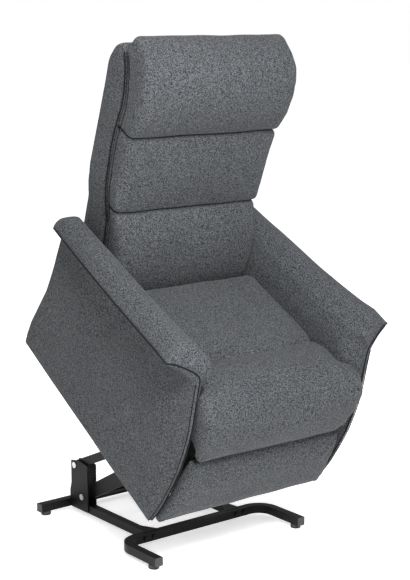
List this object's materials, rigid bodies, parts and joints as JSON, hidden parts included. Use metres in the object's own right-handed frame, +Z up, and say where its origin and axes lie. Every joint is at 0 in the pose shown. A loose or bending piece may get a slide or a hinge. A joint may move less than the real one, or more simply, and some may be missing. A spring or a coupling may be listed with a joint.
{
  "type": "lift recliner chair",
  "caption": "Electric riser recliner armchair, raised for standing: upholstered back, seat, arms and folded legrest on a steel lift base.",
  "frame": {"origin": "centre of the bounding box of the raised chair, on the floor under the rubber pads", "axes": "+Z up, the sitter faces -Y, +X towards the sitter's left hand"},
  "size_m": [0.7704, 0.8828, 1.4776],
  "materials": {
    "upholstery_fabric": "heathered woven upholstery fabric over foam",
    "black_steel": "satin black powder coat",
    "mechanism_steel": "dark grey powder coat",
    "zinc_steel": "bright zinc plating",
    "rubber": "matt black rubber",
    "black_plastic": "fine-grained black",
    "plywood": "unfinished plywood",
    "chromed_rod": "hard chrome",
    "key_plastic": "light grey key cap"
  },
  "bodies": {
    "base": {"base_crossbar": "black_steel", "base_foot_left": "black_steel", "base_foot_right": "black_steel", "base_side_rails": "black_steel", "base_rear_bar": "black_steel", "base_end_caps": "black_plastic", "floor_pads": "rubber", "lift_tower_left": "black_steel", "lift_tower_right": "black_steel", "lift_pivot_bolts": "zinc_steel", "base_bolts": "zinc_steel", "base_gussets": "black_steel", "lift_clevis_bracket": "black_steel", "lift_clevis_pin": "zinc_steel"},
    "upper_links": {"upper_lift_links": "black_steel"},
    "lower_links": {"lower_lift_links": "black_steel", "lower_link_tie": "black_steel", "lower_link_pins": "zinc_steel"},
    "chair": {"mechanism_plate_left": "mechanism_steel", "mechanism_plate_right": "mechanism_steel", "chassis_cross_tubes": "mechanism_steel", "lift_drive_beam": "mechanism_steel", "chassis_pins": "zinc_steel", "seat_side_rails": "plywood", "seat_front_rail": "plywood", "seat_rear_rail": "plywood", "seat_springs": "zinc_steel", "seat_cushion": "upholstery_fabric", "arm_cover_left": "upholstery_fabric", "arm_cover_right": "upholstery_fabric", "arm_board_left": "plywood", "arm_board_right": "plywood", "rear_stretcher": "plywood", "back_clevis_bracket": "mechanism_steel", "back_clevis_pin": "zinc_steel", "legrest_drive_housing": "black_plastic", "control_box": "black_plastic", "handset_pocket": "black_plastic", "handset_body": "black_plastic"},
    "lift_drive": {"lift_drive_housing": "black_plastic"},
    "lift_rod": {"lift_drive_rod": "chromed_rod"},
    "back_drive": {"back_drive_housing": "black_plastic"},
    "back_rod": {"back_drive_rod": "chromed_rod"},
    "legrest_rod": {"legrest_drive_rod": "chromed_rod"},
    "backrest": {"back_frame": "plywood", "back_cushion": "upholstery_fabric", "back_shell": "upholstery_fabric", "back_brackets": "mechanism_steel", "back_torque_tube": "mechanism_steel"},
    "legrest_drive": {"legrest_torque_tube": "mechanism_steel", "legrest_drive_links": "mechanism_steel"},
    "legrest_carry": {"legrest_carry_links": "mechanism_steel"},
    "legrest_control": {"legrest_control_links": "mechanism_steel"},
    "legrest_guide": {"legrest_guide_links": "mechanism_steel"},
    "legrest_panel": {"legrest_board": "plywood", "legrest_cushion": "upholstery_fabric", "legrest_brackets": "mechanism_steel"},
    "key_back": {"handset_key_back": "key_plastic"},
    "key_lift": {"handset_key_lift": "key_plastic"}
  },
  "joints": [
    {"name": "lift", "type": "hinge", "parent": "base", "child": "upper_links", "pos_m": [0, 0.37933, 0.153], "axis": [1, 0, 0], "range_deg": [0, 36.52]},
    {"name": "chair_tilt", "type": "hinge", "parent": "upper_links", "child": "chair", "pos_m": [0, 0.02487, 0.31081], "axis": [1, 0, 0], "range_deg": [-68.54, 0]},
    {"name": "lower_link", "type": "hinge", "parent": "base", "child": "lower_links", "pos_m": [0, 0.34033, 0.059], "axis": [1, 0, 0], "range_deg": [0, 28.37]},
    {"name": "lift_drive_swing", "type": "hinge", "parent": "base", "child": "lift_drive", "pos_m": [0.045, 0.41833, 0.062], "axis": [1, 0, 0], "range_deg": [0, 27.26]},
    {"name": "lift_drive_stroke", "type": "slide", "parent": "lift_drive", "child": "lift_rod", "axis": [0, -0.8003, 0.5996], "range_m": [-0.10775, 0]},
    {"name": "backrest", "type": "hinge", "parent": "chair", "child": "backrest", "pos_m": [0, 0.16124, 0.65082], "axis": [-1, 0, 0], "range_deg": [0, 32]},
    {"name": "back_drive_swing", "type": "hinge", "parent": "chair", "child": "back_drive", "pos_m": [-0.045, -0.10602, 0.35765], "axis": [1, 0, 0], "range_deg": [0, 5.78]},
    {"name": "back_drive_stroke", "type": "slide", "parent": "back_drive", "child": "back_rod", "axis": [0, 0.8126, 0.5829], "range_m": [-0.03671, 0]},
    {"name": "legrest", "type": "hinge", "parent": "chair", "child": "legrest_drive", "pos_m": [0, -0.24265, 0.36307], "axis": [-1, 0, 0], "range_deg": [0, 73]},
    {"name": "legrest_carry", "type": "hinge", "parent": "legrest_drive", "child": "legrest_carry", "pos_m": [0, -0.17265, 0.24183], "axis": [1, 0, 0], "range_deg": [0, 106.42]},
    {"name": "legrest_board", "type": "hinge", "parent": "legrest_carry", "child": "legrest_panel", "pos_m": [0, -0.27775, 0.33432], "axis": [-1, 0, 0], "range_deg": [0, 118.42]},
    {"name": "legrest_control", "type": "hinge", "parent": "chair", "child": "legrest_control", "pos_m": [0, -0.19972, 0.36042], "axis": [-1, 0, 0], "range_deg": [0, 73.26]},
    {"name": "legrest_guide", "type": "hinge", "parent": "legrest_drive", "child": "legrest_guide", "pos_m": [0, -0.14461, 0.21562], "axis": [1, 0, 0], "range_deg": [0, 104.55]},
    {"name": "legrest_drive_stroke", "type": "slide", "parent": "chair", "child": "legrest_rod", "axis": [0, 0.848, 0.5299], "range_m": [-0.06553, 0]},
    {"name": "key_back", "type": "hinge", "parent": "chair", "child": "key_back", "pos_m": [0.3375, -0.06454, 0.63473], "axis": [0, 0.848, 0.5299], "range_deg": [-5, 5], "stiffness_Nm_per_rad": 0.05},
    {"name": "key_lift", "type": "hinge", "parent": "chair", "child": "key_lift", "pos_m": [0.3375, -0.04759, 0.60759], "axis": [0, 0.848, 0.5299], "range_deg": [-5, 5], "stiffness_Nm_per_rad": 0.05}
  ],
  "couplings": [
    {"joint": "chair_tilt", "follows": "lift", "ratio": -1.8763},
    {"joint": "lower_link", "follows": "lift", "ratio": 0.77648},
    {"joint": "lift_drive_swing", "follows": "lift", "ratio": 0.74601},
    {"joint": "lift_drive_stroke", "follows": "lift", "m_per_rad": -0.16892},
    {"joint": "back_drive_swing", "follows": "backrest", "ratio": 0.18008},
    {"joint": "back_drive_stroke", "follows": "backrest", "m_per_rad": -0.065542},
    {"joint": "legrest_carry", "follows": "legrest", "ratio": 1.4575},
    {"joint": "legrest_board", "follows": "legrest", "ratio": 1.6219},
    {"joint": "legrest_control", "follows": "legrest", "ratio": 1.0032},
    {"joint": "legrest_guide", "follows": "legrest", "ratio": 1.432},
    {"joint": "legrest_drive_stroke", "follows": "legrest", "m_per_rad": -0.051355}
  ]
}
